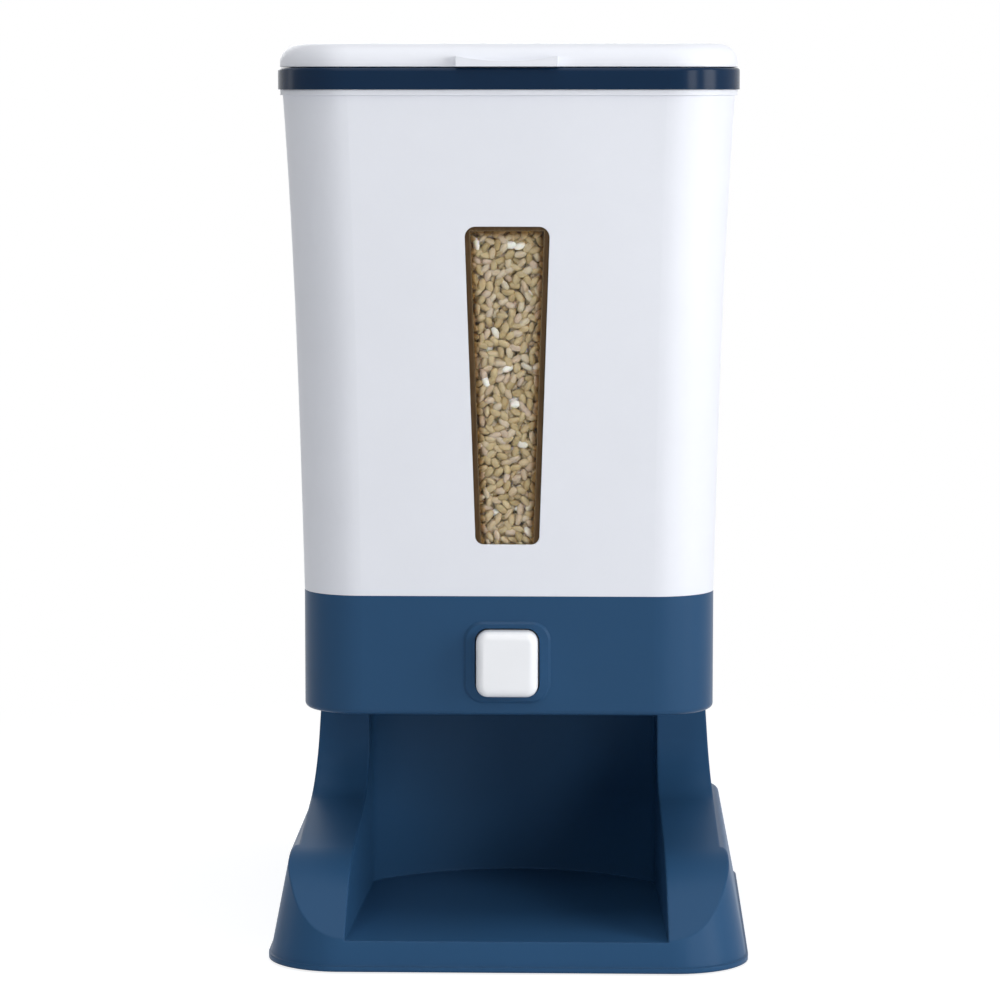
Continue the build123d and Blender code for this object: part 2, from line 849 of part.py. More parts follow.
with BuildPart() as hopper_funnel:
    loft(sections=funnel_sections(0, funnel_wall), ruled=True)
    with BuildSketch(Plane.XY.offset(throat_z)):
        with Locations((0, (frame_front_y + frame_rear_y) / 2)):
            RectangleRounded(2 * frame_half_width, frame_rear_y - frame_front_y, 2.0)
    extrude(amount=throat_flange)
    with BuildSketch(Plane.XY.offset(throat_z)):
        with Locations(*gate_screw_places):
            Circle(small_boss_radius)
        with Locations((0, throat_y)):
            Rectangle(throat_width + 2 * funnel_wall, throat_length + 2 * funnel_wall)
    extrude(amount=2 * (throat_flange + gate_screw_bite))
    loft(sections=funnel_sections(funnel_lift, 0), ruled=True, mode=Mode.SUBTRACT)
    with BuildSketch(Plane.XY.offset(throat_z)):
        with Locations((0, throat_y)):
            Rectangle(throat_width, throat_length)
    extrude(amount=funnel_throat_rise + 2 * funnel_lift, mode=Mode.SUBTRACT)
    with BuildSketch(Plane.XY.offset(throat_z)):
        with Locations(*gate_screw_places):
            Circle(small_screw_radius + pin_fit)
    extrude(amount=throat_flange + gate_screw_bite + fit, mode=Mode.SUBTRACT)
    # its rim is trimmed to the bin's inner face
    loft(sections=bin_plans(wall + funnel_fit, throat_z - 1), mode=Mode.INTERSECT)

save(hopper_funnel.part, "hopper_funnel")


# ---- Bin body and window pane ----------------------------------------------------------------

window_foot_z = housing_top_z + window_foot_height


def window_outline(grow):
    """The window's trapezoid, seen from the front, with its corners rounded."""
    with BuildSketch(Plane.XZ) as outline:
        with BuildLine():
            Polyline(
                (-window_bottom_width / 2, window_foot_z),
                (window_bottom_width / 2, window_foot_z),
                (window_top_width / 2, window_foot_z + window_height),
                (-window_top_width / 2, window_foot_z + window_height),
                close=True,
            )
        make_face()
        fillet(outline.vertices().group_by(Axis.Y)[-1], window_top_corner)
        fillet(outline.vertices().group_by(Axis.Y)[0], window_bottom_corner)
        if grow:
            offset(amount=grow)
    return outline.sketch


with BuildPart() as bin_ribs:
    # ribs on the walls, whose sloped heads carry the funnel
    with BuildSketch(Plane.XY.offset(housing_top_z)):
        with GridLocations(2 * hopper_rib_x, 0, 2, 1):
            Rectangle(hopper_rib, 2 * housing_depth)
        with GridLocations(0, 2 * hopper_rib_y, 1, 2):
            Rectangle(2 * housing_width, hopper_rib)
        Rectangle(
            housing_width - 2 * (wall + hopper_rib_depth),
            housing_depth - 2 * (wall + hopper_rib_depth),
            mode=Mode.SUBTRACT,
        )
    extrude(amount=funnel_rear_rise)
    with BuildSketch(Plane.XY.offset(spigot_foot_z)):
        with Locations(*bin_screw_places):
            Circle(screw_boss_radius)
    extrude(amount=bin_screw_bite + wall)
    add(funnel_block.part.moved(Location((0, 0, -pin_fit))), mode=Mode.SUBTRACT)

with BuildPart() as bin_form:
    loft(sections=bin_plans(0))

with BuildPart() as bin_body:
    add(bin_form.part)
    extrude(plan(bin_top_z - rim_thickness, rim_flare), amount=rim_thickness)
    loft(sections=bin_plans(wall, bin_floor_z), mode=Mode.SUBTRACT)
    # spigot that seats in the housing
    extrude(plan(spigot_foot_z, 0, spigot_inset), amount=spigot_depth)
    extrude(
        plan(spigot_foot_z, 0, spigot_inset + spigot_wall),
        amount=spigot_depth + ledge_height,
        mode=Mode.SUBTRACT,
    )
    add(bin_ribs.part.intersect(bin_form.part))
    add(bin_ribs.part.intersect(block(
        (-bin_screw_x - screw_boss_radius, bin_screw_x + screw_boss_radius),
        (-bin_screw_y - screw_boss_radius, bin_screw_y + screw_boss_radius),
        (spigot_foot_z, housing_top_z),
    )))
    with BuildSketch(Plane.XY.offset(spigot_foot_z)):
        with Locations(*bin_screw_places):
            Circle(screw_radius + pin_fit)
    extrude(amount=bin_screw_bite + fit, mode=Mode.SUBTRACT)
    extrude(window_outline(0), amount=housing_depth, mode=Mode.SUBTRACT)

save(bin_body.part, "bin_body")

with BuildPart() as pane_front:
    loft(sections=bin_plans(window_set_in))
    loft(sections=bin_plans(wall + pin_fit), mode=Mode.SUBTRACT)
    extrude(window_outline(-pane_fit), amount=housing_depth, mode=Mode.INTERSECT)

with BuildPart() as window_pane:
    loft(sections=bin_plans(wall + pin_fit))
    loft(sections=bin_plans(wall + pin_fit + pane_lip_thickness), mode=Mode.SUBTRACT)
    extrude(window_outline(pane_lip), amount=housing_depth, mode=Mode.INTERSECT)
    add(pane_front.part)

save(window_pane.part, "window_pane")


# ---- Collar ring -----------------------------------------------------------------------------

collar_spigot_inset = wall + fit + bin_flare - bin_flare_at(bin_top_z - collar_spigot_depth)
collar_bore_inset = collar_spigot_inset + collar_wall
collar_rear_y = housing_depth / 2 + collar_flare
knuckle_shift = (lid_knuckle_length + knuckle_length) / 2 + fit
hinge_places = (-hinge_x, hinge_x)
collar_knuckle_xs = [x + shift for x in hinge_places for shift in (-knuckle_shift, knuckle_shift)]


def hinge_solid(xs, length, foot_points):
    """Knuckles of one length at each x, with the web that joins them to their part."""
    with BuildPart() as knuckles:
        for x in xs:
            with BuildSketch(Plane.YZ.offset(x)):
                with BuildLine():
                    Polyline(*foot_points, close=True)
                make_face()
                with Locations((hinge_y, hinge_z)):
                    Circle(hinge_radius)
                    Circle(pin_radius + pin_fit, mode=Mode.SUBTRACT)
            extrude(amount=length / 2, both=True)
    return knuckles.part


with BuildPart() as collar_ring:
    extrude(plan(bin_top_z, collar_flare), amount=collar_height)
    fillet(collar_ring.edges().group_by(Axis.Z)[-1], collar_edge_radius)
    extrude(
        plan(bin_top_z, collar_flare, collar_wall),
        amount=collar_height - collar_wall,
        mode=Mode.SUBTRACT,
    )
    # inner wall, which reaches down into the bin
    collar_spigot_z = bin_top_z - collar_spigot_depth
    extrude(plan(collar_spigot_z, bin_flare, collar_spigot_inset), amount=collar_top_z - collar_spigot_z)
    extrude(
        plan(collar_spigot_z, bin_flare, collar_bore_inset),
        amount=collar_top_z - collar_spigot_z,
        mode=Mode.SUBTRACT,
    )
    add(
        hinge_solid(
            collar_knuckle_xs,
            knuckle_length,
            [
                (collar_rear_y - collar_wall / 2, collar_top_z - hinge_bracket_depth),
                (collar_rear_y - collar_wall / 2, collar_top_z - collar_wall),
                (hinge_y - hinge_radius, hinge_z),
                (hinge_y + hinge_radius, hinge_z),
            ],
        )
    )

save(collar_ring.part, "collar_ring")


# ---- Lid, liner and gasket -------------------------------------------------------------------

with BuildPart() as lid_hollow:
    extrude(plan(lid_foot_z, lid_flare, lid_wall), amount=lid_height - lid_wall)
    fillet(lid_hollow.edges().group_by(Axis.Z)[-1], lid_edge_radius - lid_wall)

lid_front_y = -housing_depth / 2 - lid_flare
lid_rear_y = -lid_front_y
liner_z = lid_foot_z + liner_lift
liner_top_z = liner_z + liner_thickness

with BuildPart() as lid:
    extrude(plan(lid_foot_z, lid_flare), amount=lid_height)
    fillet(lid.edges().group_by(Axis.Z)[-1], lid_edge_radius)
    # thumb tab, dished across its top
    with BuildSketch(Plane.XZ.offset(tab_depth - lid_front_y)):
        with BuildLine():
            Polyline(
                (tab_width / 2, lid_foot_z + tab_height),
                (tab_width / 2, lid_foot_z),
                (-tab_width / 2, lid_foot_z),
                (-tab_width / 2, lid_foot_z + tab_height),
            )
            ThreePointArc(
                (-tab_width / 2, lid_foot_z + tab_height),
                (0, lid_foot_z + tab_height - tab_scoop),
                (tab_width / 2, lid_foot_z + tab_height),
            )
        make_face()
    extrude(amount=-tab_depth - lid_edge_radius)
    add(
        hinge_solid(
            hinge_places,
            lid_knuckle_length,
            [
                (lid_rear_y - lid_wall, lid_foot_z),
                (hinge_y, lid_foot_z),
                (hinge_y, hinge_z + hinge_radius),
                (lid_rear_y - lid_wall, hinge_z + hinge_radius),
            ],
        )
    )
    add(lid_hollow.part, mode=Mode.SUBTRACT)
    # posts that the liner is welded to
    with BuildSketch(Plane.XY.offset(liner_top_z)):
        with GridLocations(housing_width / 2, housing_depth / 3, 2, 3):
            Circle(small_boss_radius)
    extrude(amount=lid_top_z - lid_wall / 2 - liner_top_z)

save(lid.part, "lid")

skirt_inset = collar_bore_inset + liner_skirt_gap
liner_skirt_z = liner_z - liner_skirt_depth
gasket_z = liner_skirt_z + gasket_lift
gasket_groove = liner_skirt_wall / 3
gasket_gap = 1.5 * fit

with BuildPart() as lid_liner:
    extrude(plan(liner_z, lid_flare, lid_wall + fit), amount=liner_thickness)
    extrude(plan(liner_skirt_z, bin_flare, skirt_inset), amount=liner_skirt_depth)
    extrude(
        plan(liner_skirt_z, bin_flare, skirt_inset + liner_skirt_wall),
        amount=liner_skirt_depth,
        mode=Mode.SUBTRACT,
    )
    # groove for the gasket
    with BuildSketch(Plane.XY.offset(gasket_z)):
        add(plan(0, lid_flare))
        add(plan(0, bin_flare, skirt_inset + gasket_groove), mode=Mode.SUBTRACT)
    extrude(amount=gasket_height, mode=Mode.SUBTRACT)

save(lid_liner.part, "lid_liner")

with BuildPart() as lid_gasket:
    extrude(plan(gasket_z, bin_flare, collar_bore_inset + gasket_gap), amount=gasket_height)
    extrude(
        plan(gasket_z, bin_flare, skirt_inset + gasket_groove),
        amount=gasket_height,
        mode=Mode.SUBTRACT,
    )

save(lid_gasket.part, "lid_gasket")

for side, side_name in ((-1, "left"), (1, "right")):
    with BuildPart() as hinge_pin:
        with BuildSketch(Plane.YZ.offset(side * hinge_x)):
            with Locations((hinge_y, hinge_z)):
                Circle(pin_radius)
        extrude(amount=knuckle_shift + knuckle_length / 2, both=True)
    save(hinge_pin.part, f"hinge_pin_{side_name}")
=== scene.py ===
import bpy
import numpy as np
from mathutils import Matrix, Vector


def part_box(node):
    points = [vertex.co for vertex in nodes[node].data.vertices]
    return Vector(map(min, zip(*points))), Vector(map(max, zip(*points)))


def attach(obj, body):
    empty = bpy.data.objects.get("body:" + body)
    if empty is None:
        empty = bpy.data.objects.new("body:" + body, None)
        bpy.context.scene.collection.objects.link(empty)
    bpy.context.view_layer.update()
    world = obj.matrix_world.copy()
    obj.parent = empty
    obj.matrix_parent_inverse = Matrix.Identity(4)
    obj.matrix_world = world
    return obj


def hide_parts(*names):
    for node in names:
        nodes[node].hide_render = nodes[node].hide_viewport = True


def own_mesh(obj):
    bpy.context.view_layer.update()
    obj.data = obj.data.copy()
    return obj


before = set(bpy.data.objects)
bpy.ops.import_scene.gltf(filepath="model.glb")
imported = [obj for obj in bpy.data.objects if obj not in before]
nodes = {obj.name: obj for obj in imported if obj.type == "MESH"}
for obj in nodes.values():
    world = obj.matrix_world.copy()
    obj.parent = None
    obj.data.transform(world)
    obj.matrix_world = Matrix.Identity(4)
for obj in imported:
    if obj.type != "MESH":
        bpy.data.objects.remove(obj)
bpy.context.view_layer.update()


# ---- Studio ------------------------------------------------------------------------------------
# A pale laminate table in a plain white studio, seen by a long lens from 1.95 m away at the height of
# the bin's rim. Two softboxes stand on the right, one hangs over the camera and one over the object, a
# weak strip on the left gives that side its edge, and a softbox behind lights the back.

lens_mm = 140.2
camera_place = (0.0495, -1.9466, 0.420)
camera_aim = (-0.0287, 0.9940, -0.1056)
daylight = (1.0, 0.995, 0.985)
room_white, room_strength = "#F4F6FA", 0.1
table_reach = 6.0
board_white, board_shadow, board_glow = "#F4F5F7", "#A0A3A8", 0.83
board_fade = (0.2, 0.75)  # from the object's middle to where the board starts to fade, and has faded


def linear(hex_colour):
    """Linear RGBA of an sRGB hex colour: the low end divided by 12.92, the rest by the 2.4 power."""
    channels = np.array([int(hex_colour[i:i + 2], 16) for i in (1, 3, 5)]) / 255
    return (*np.where(channels <= 0.04045, channels / 12.92, ((channels + 0.055) / 1.055) ** 2.4), 1.0)


def add_node(tree, kind, settings=(), links=()):
    """Adds a node of a kind: settings are its properties or inputs, links its inputs' (node, output)."""
    made = tree.nodes.new(kind)
    for key, value in dict(settings).items():
        if isinstance(key, str) and hasattr(made, key):
            setattr(made, key, value)
        else:
            made.inputs[key].default_value = value
    for key, (source, output) in dict(links).items():
        tree.links.new(source.outputs[output], made.inputs[key])
    return made


def calculate(tree, operation, *values):
    """Math node of an operation. Each value is a number or the (node, output) that it comes from."""
    linked = {place: value for place, value in enumerate(values) if isinstance(value, tuple)}
    fixed = {place: value for place, value in enumerate(values) if place not in linked}
    return add_node(tree, "ShaderNodeMath", {"operation": operation, **fixed}, linked)


def carry(tree, value, span=(0.0, 1.0), onto=(0.0, 1.0), curve="LINEAR"):
    """Carries a (node, output) from one range onto another, along a line or a smooth step."""
    ends = {"From Min": span[0], "From Max": span[1], "To Min": onto[0], "To Max": onto[1]}
    return add_node(tree, "ShaderNodeMapRange", {"interpolation_type": curve, **ends}, {"Value": value})


def mix_shaders(tree, share, first, second):
    """Mixes two shader nodes by another node's value."""
    return add_node(tree, "ShaderNodeMixShader", {}, {0: (share, 0), 1: (first, 0), 2: (second, 0)})


def seen_directly(tree):
    """1 for a camera, glossy or transmitted ray, so that the white room also shows in gloss and glass."""
    path = add_node(tree, "ShaderNodeLightPath")
    two = calculate(tree, "MAXIMUM", (path, "Is Camera Ray"), (path, "Is Glossy Ray"))
    return calculate(tree, "MAXIMUM", (two, 0), (path, "Is Transmission Ray"))


def place_in_studio(name, data, place, direction):
    """Puts a camera or a lamp at a place, turned to look along a direction."""
    holder = bpy.data.objects.new(name, data)
    holder.location = place
    holder.rotation_mode = "QUATERNION"
    holder.rotation_quaternion = Vector(direction).to_track_quat("-Z", "Y")
    bpy.context.scene.collection.objects.link(holder)
    return holder


def softbox(name, place, aim, size, watts):
    """Area lamp of a width and height, at a place and turned to its aim."""
    lamp = bpy.data.lights.new(name, "AREA")
    lamp.shape = "RECTANGLE"
    lamp.size, lamp.size_y = size
    lamp.energy = watts
    lamp.color = daylight
    place_in_studio(name, lamp, place, Vector(aim) - Vector(place))


bpy.context.scene.view_settings.view_transform = "Standard"

camera_data = bpy.data.cameras.new("camera")
camera_data.lens = lens_mm
camera_data.sensor_width = 36.0
bpy.context.scene.camera = place_in_studio("camera", camera_data, camera_place, camera_aim)

softbox("softbox_right", place=(1.75, -0.75, 0.75), aim=(0, 0, 0.24), size=(0.7, 1.2), watts=18.6)
softbox("softbox_right_front", place=(1.3, -1.7, 0.55), aim=(0, 0, 0.24), size=(0.5, 0.8), watts=7.8)
softbox("softbox_front", place=(-0.25, -1.9, 1.35), aim=(0, 0, 0.25), size=(1.4, 0.9), watts=8.8)
softbox("softbox_top", place=(0, -0.4, 1.8), aim=(0, 0, 0.3), size=(1.2, 1.2), watts=11)
softbox("strip_left", place=(-1.5, 0.3, 0.6), aim=(0, 0, 0.25), size=(0.35, 1.4), watts=2)
softbox("softbox_rear", place=(-0.5, 1.9, 1.0), aim=(0, 0, 0.25), size=(1.4, 0.9), watts=9)

world = bpy.data.worlds.new("white_room")
bpy.context.scene.world = world
world.use_nodes = True
room = world.node_tree
room.nodes.clear()
room_light = add_node(
    room, "ShaderNodeBackground", {"Color": linear(room_white), "Strength": room_strength}
)
room_seen = add_node(room, "ShaderNodeBackground", {"Color": (1, 1, 1, 1), "Strength": 1.0})
room_mix = mix_shaders(room, seen_directly(room), room_light, room_seen)
add_node(room, "ShaderNodeOutputWorld", {}, {"Surface": (room_mix, 0)})

table_mesh = bpy.data.meshes.new("table_top")
corners = [(x * table_reach, y * table_reach, 0) for x, y in ((-1, -1), (1, -1), (1, 1), (-1, 1))]
table_mesh.from_pydata(corners, [], [(0, 1, 2, 3)])
table_top = bpy.data.objects.new("table_top", table_mesh)
bpy.context.scene.collection.objects.link(table_top)

# white laminate: lit like any pale board, shown nearly white with the object's shadow, and fading
# into the white room away from the object
table_white = bpy.data.materials.new("white_laminate")
table_white.use_nodes = True
tree = table_white.node_tree
tree.nodes.clear()
board = add_node(tree, "ShaderNodeBsdfDiffuse", {"Color": linear(board_white)})
shadow_part = add_node(tree, "ShaderNodeBsdfDiffuse", {"Color": linear(board_shadow)})
white_part = add_node(tree, "ShaderNodeEmission", {"Color": (1, 1, 1, 1), "Strength": board_glow})
shown = add_node(tree, "ShaderNodeAddShader", {}, {0: (shadow_part, 0), 1: (white_part, 0)})
far_white = add_node(tree, "ShaderNodeEmission", {"Color": (1, 1, 1, 1), "Strength": 1.0})
place = add_node(tree, "ShaderNodeTexCoord")
away = add_node(tree, "ShaderNodeVectorMath", {"operation": "LENGTH"}, {0: (place, "Object")})
fade = carry(tree, (away, "Value"), span=board_fade, curve="SMOOTHSTEP")
faded = mix_shaders(tree, fade, shown, far_white)
surface = mix_shaders(tree, seen_directly(tree), board, faded)
add_node(tree, "ShaderNodeOutputMaterial", {}, {"Surface": (surface, 0)})
table_mesh.materials.append(table_white)


# ---- Stand -------------------------------------------------------------------------------------
# The C-shaped stand is one injection moulding of navy polypropylene, with a fine satin texture from
# the eroded mould. It shows a weak, soft sheen, rounder edges where the light runs along, and no gloss.

# painted light: the stand's navy is a little lighter than the housing's, though both are the same
# polypropylene, for the stronger light that the table bounces onto it
stand_navy_painted_lighter = "#2B5075"
plastic_index = 1.49
relief_width_mm = 0.9  # the mould's texture is 0.1 mm wide, drawn coarser so that it shows at all
flow_mm = 70.0
flow_change = 0.03  # how far the melt's flow moves a moulding's tone and roughness, either way


def new_material(name, settings):
    """Makes a material with the settings on its shader. Returns its node tree, its shader and itself."""
    material = bpy.data.materials.new(name)
    material.use_nodes = True
    shader = material.node_tree.nodes["Principled BSDF"]
    for key, value in settings.items():
        shader.inputs[key].default_value = value
    return material.node_tree, shader, material


def noise(tree, width_mm, detail=2.0, roughness=0.5, stretch=None):
    """Noise in patches of a width, in the piece's own axes. An axis scaled below 1 draws it out."""
    place = (add_node(tree, "ShaderNodeTexCoord"), "Object")
    if stretch:
        place = (add_node(tree, "ShaderNodeMapping", {"Scale": stretch}, {"Vector": place}), 0)
    settings = {"Scale": 1000 / width_mm, "Detail": detail, "Roughness": roughness}
    return add_node(tree, "ShaderNodeTexNoise", settings, {"Vector": place})


def moulded_plastic(name, pigment, roughness, specular, relief_mm, edge_mm):
    """Injection-moulded plastic: even pigment with a slow change of tone and gloss where the melt ran,
    the mould's fine texture as a bump, and edges eased by a small radius."""
    tree, shader, material = new_material(name, {"IOR": plastic_index, "Specular IOR Level": specular})
    flow = noise(tree, flow_mm, detail=3.0, roughness=0.55)
    tone = carry(tree, (flow, "Fac"), onto=(1 - flow_change, 1 + flow_change))
    gloss = carry(tree, (flow, "Fac"), onto=(roughness - flow_change, roughness + flow_change))
    colour = add_node(
        tree, "ShaderNodeVectorMath", {"operation": "SCALE", 0: linear(pigment)[:3]}, {"Scale": (tone, 0)}
    )
    relief = noise(tree, relief_width_mm, detail=1.0)
    eased = add_node(tree, "ShaderNodeBevel", {"samples": 6, "Radius": edge_mm / 1000})
    bump = add_node(
        tree,
        "ShaderNodeBump",
        {"Strength": 0.5, "Distance": relief_mm / 1000},
        {"Height": (relief, "Fac"), "Normal": (eased, 0)},
    )
    tree.links.new(colour.outputs[0], shader.inputs["Base Color"])
    tree.links.new(gloss.outputs[0], shader.inputs["Roughness"])
    tree.links.new(bump.outputs[0], shader.inputs["Normal"])
    return material


def dress(material, *names):
    """Puts a material on CAD nodes."""
    for name in names:
        for holder in nodes[name].material_slots:
            holder.material = material


navy_polypropylene = moulded_plastic(
    "moulded_navy_polypropylene", stand_navy_painted_lighter, roughness=0.4, specular=0.1, relief_mm=0.012, edge_mm=1.6
)
dress(navy_polypropylene, "stand")


# ---- Rubber feet -------------------------------------------------------------------------------
# Four black rubber feet are pressed into bosses under the stand. Rubber is dull, with a faint bloom
# that greys it unevenly.

rubber_black, rubber_bloom, bloom_mm = "#1B1B1D", "#2E2E31", 4.0


def mix_colours(tree, share, first, second):
    """Mixes two colours by a (node, output). Each is a hex colour or a (node, output) too."""
    ends = {6: first, 7: second}
    linked = {place: end for place, end in ends.items() if isinstance(end, tuple)}
    fixed = {place: linear(end) for place, end in ends.items() if place not in linked}
    return add_node(tree, "ShaderNodeMix", {"data_type": "RGBA", **fixed}, {0: share, **linked})


tree, shader, foot_rubber = new_material("moulded_black_rubber", {"IOR": 1.52, "Roughness": 0.75})
bloom = noise(tree, bloom_mm, detail=4.0)
bloom_colour = mix_colours(tree, (bloom, "Fac"), rubber_black, rubber_bloom)
tree.links.new(bloom_colour.outputs[2], shader.inputs["Base Color"])
for corner in ("front_left", "front_right", "rear_left", "rear_right"):
    dress(foot_rubber, f"rubber_foot_{corner}")


# ---- Dispenser housing -------------------------------------------------------------------------
# The navy housing is moulded in the same polypropylene as the stand and screwed down on it. Its
# raised boss guides the push button, and its edges are crisper and catch the light as fine lines.

housing_navy = "#294C6F"

navy_housing = moulded_plastic(
    "moulded_navy_polypropylene_housing",
    housing_navy,
    roughness=0.34,
    specular=0.12,
    relief_mm=0.006,
    edge_mm=0.5,
)
dress(navy_housing, "dispenser_housing")


# ---- Outlet chute, gate frame and slide gate ---------------------------------------------------
# The parts that the rice runs through are plain grey acetal, moulded smooth so that the gate slides
# and grains don't stick. They have a low, even gloss.

acetal_grey = "#9A9DA2"

grey_acetal = moulded_plastic(
    "moulded_grey_acetal", acetal_grey, roughness=0.38, specular=0.45, relief_mm=0.006, edge_mm=0.3
)
dress(grey_acetal, "outlet_chute", "gate_frame", "slide_gate")


# ---- Throat seal and lid gasket ----------------------------------------------------------------
# Two soft silicone rings close the throat and the lid. Silicone is milky, lets some light in and has
# a greasy low gloss.

silicone_milky, silicone_clearer, milk_mm = "#D3D5D7", "#E2E3E4", 12.0
silicone_depth = (0.003, 0.003, 0.003)  # how deep red, green and blue light go in

tree, shader, silicone = new_material(
    "moulded_milky_silicone",
    {"IOR": 1.41, "Subsurface Weight": 0.4, "Subsurface Radius": silicone_depth, "Roughness": 0.5},
)
milk = noise(tree, milk_mm)
milk_colour = mix_colours(tree, (milk, "Fac"), silicone_milky, silicone_clearer)
tree.links.new(milk_colour.outputs[2], shader.inputs["Base Color"])
dress(silicone, "throat_seal", "lid_gasket")


# ---- Return springs, hinge pins and screws -----------------------------------------------------
# The springs are cold-drawn wire and the pins ground steel, with fine lines along them, and the screws
# are zinc plated, which clouds them a blue grey. The two springs lie between the gate's plate and its
# frame; their coils are drawn once, at one length, and ride on the base.

coil_radius, wire_radius, coil_turns = 0.003, 0.0004, 7
rings_per_turn, wire_sides = 28, 10
line_scale, line_change = 0.08, 0.08  # how much lines are drawn out, and how far they move the gloss
cloud_mm = 3.0


def worked_steel(name, tone, cloud_tone, roughness, line_mm):
    """Steel with fine lines from drawing or grinding, as noise stretched along X, and a cloudy tone."""
    tree, shader, material = new_material(name, {"Metallic": 1.0})
    lines = noise(tree, line_mm, stretch=(line_scale, 1.0, 1.0))
    gloss = carry(tree, (lines, "Fac"), onto=(roughness - line_change, roughness + line_change))
    cloud = noise(tree, cloud_mm)
    colour = mix_colours(tree, (cloud, "Fac"), tone, cloud_tone)
    tree.links.new(colour.outputs[2], shader.inputs["Base Color"])
    tree.links.new(gloss.outputs[0], shader.inputs["Roughness"])
    return material


def add_mesh(name, points, faces, material, body):
    """Makes a smooth mesh object of points and faces that rides on a body."""
    mesh = bpy.data.meshes.new(name)
    mesh.from_pydata(points, [], faces)
    mesh.polygons.foreach_set("use_smooth", np.ones(len(mesh.polygons), bool))
    mesh.materials.append(material)
    piece = bpy.data.objects.new(name, mesh)
    bpy.context.scene.collection.objects.link(piece)
    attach(piece, body)
    return piece


def grid_faces(rows, columns):
    """Quads of a grid that is closed round its columns, row by row."""
    row, column = np.meshgrid(np.arange(rows - 1), np.arange(columns), indexing="ij")
    here, right = row * columns + column, row * columns + (column + 1) % columns
    return np.stack([here, right, right + columns, here + columns], axis=-1).reshape(-1, 4)


def capped_faces(rows, columns):
    """The grid's quads, and one face over its first row and one over its last."""
    last = (rows - 1) * columns
    caps = [list(range(columns))[::-1], list(range(last, last + columns))]
    return grid_faces(rows, columns).tolist() + caps


def coil(side, low, high):
    """Tube round a helix along Y between two corners of a box: each ring stands square to the helix, round
    a point at the coil's radius from its axis. Returns rings of points, and the rear end of the axis."""
    middle = (np.array(low) + np.array(high)) / 2
    share = np.linspace(0, 1, coil_turns * rings_per_turn + 1)[:, None]
    angle = 2 * np.pi * coil_turns * share
    rise = high[1] - low[1] - 2 * wire_radius
    outward = np.hstack([side * np.cos(angle), 0 * angle, np.sin(angle)])
    centre = np.array([middle[0], low[1] + wire_radius, middle[2]]) + coil_radius * outward
    centre[:, 1:2] += rise * share
    round_axis = np.hstack([-side * np.sin(angle), 0 * angle, np.cos(angle)])
    along = 2 * np.pi * coil_turns * coil_radius * round_axis
    along[:, 1] = rise
    along /= np.linalg.norm(along, axis=1, keepdims=True)
    across = np.cross(along, outward)
    turn = np.linspace(0, 2 * np.pi, wire_sides, endpoint=False)[None, :, None]
    spokes = np.cos(turn) * outward[:, None] + np.sin(turn) * across[:, None]
    return centre[:, None] + wire_radius * spokes, (middle[0], high[1], middle[2])


spring_wire = worked_steel("drawn_spring_wire", "#B9BABC", "#C6C7C9", roughness=0.28, line_mm=0.3)
for side, node in ((-1, "return_spring_left"), (1, "return_spring_right")):
    low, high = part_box(node)
    rings, rear = coil(side, low, high)
    coil_faces = capped_faces(*rings.shape[:2])
    piece = add_mesh(f"{node}_coil", rings.reshape(-1, 3), coil_faces, spring_wire, "base")
    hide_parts(node)
    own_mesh(piece)

pin_steel = worked_steel("ground_steel_pin", "#BDBEC0", "#CBCCCE", roughness=0.22, line_mm=0.3)
dress(pin_steel, "hinge_pin_left", "hinge_pin_right")
screw_steel = worked_steel("zinc_plated_steel", "#A9AEB5", "#BFC3C8", roughness=0.35, line_mm=0.5)
dress(screw_steel, "stand_screws", "bin_screws", "gate_screws", "chute_screws")


# ---- Push button -------------------------------------------------------------------------------
# The push button is a hollow cap of bright white ABS with well rounded edges, moulded a little glossier
# than the bin. It slides in the housing's boss and snaps on a plug of the gate's upright plate.

button_white = "#F6F8FC"

white_button = moulded_plastic(
    "moulded_white_abs_button", button_white, roughness=0.3, specular=0.4, relief_mm=0.005, edge_mm=0.3
)
dress(white_button, "push_button")


# ---- Bin and hopper funnel ---------------------------------------------------------------------
# The bin is a deep flared moulding in white polypropylene with a satin face, and the funnel inside it
# is the same plastic. White plastic shows soft, slightly cool shading and hardly any texture.

bin_white = "#EAEDF5"

white_polypropylene = moulded_plastic(
    "moulded_white_polypropylene", bin_white, roughness=0.4, specular=0.35, relief_mm=0.01, edge_mm=0.5
)
dress(white_polypropylene, "bin_body", "hopper_funnel")


# ---- Window pane -------------------------------------------------------------------------------
# The pane is clear moulded polystyrene, glued into the bin's window from inside by its lip. It is
# smooth and almost colourless, with a faint waviness. Round its edge runs a narrow border of painted
# shade, streaked dark brown, for the shade at the opening's edge where the bin's wall shades the rice.

window_foot_z, window_height = 0.2040, 0.1506
window_top_z = window_foot_z + window_height
window_foot_half, window_top_half = 0.0151, 0.0201
# painted shade round the window's edge, where the bin's wall shades the rice: a streaked brown border and a
# tan tinge
painted_border_rise = 0.0006  # the border's top line over the window's
painted_border, painted_tinge = (0.0030, 0.0021), (0.0066, 0.0024)  # how far from the edge each starts and is full
painted_shade_brown, painted_shade_brown_light, painted_shade_tan, pane_tint = "#3A2812", "#6E563A", "#C0AA84", "#F8FAFA"
clear_in_pane, clear_in_painted_border = 1.0, 0.25
wave_mm, wave_depth = 25.0, 0.0002
shade_streak_mm, shade_streak_scale = 1.2, 0.12

# thin and polished: a low index keeps the white room from veiling the rice
tree, shader, clear_polystyrene = new_material(
    "moulded_clear_polystyrene", {"IOR": 1.2, "Roughness": 0.02}
)
wave = noise(tree, wave_mm, detail=1.0)
wavy = add_node(
    tree, "ShaderNodeBump", {"Strength": 0.2, "Distance": wave_depth}, {"Height": (wave, "Fac")}
)
tree.links.new(wavy.outputs[0], shader.inputs["Normal"])

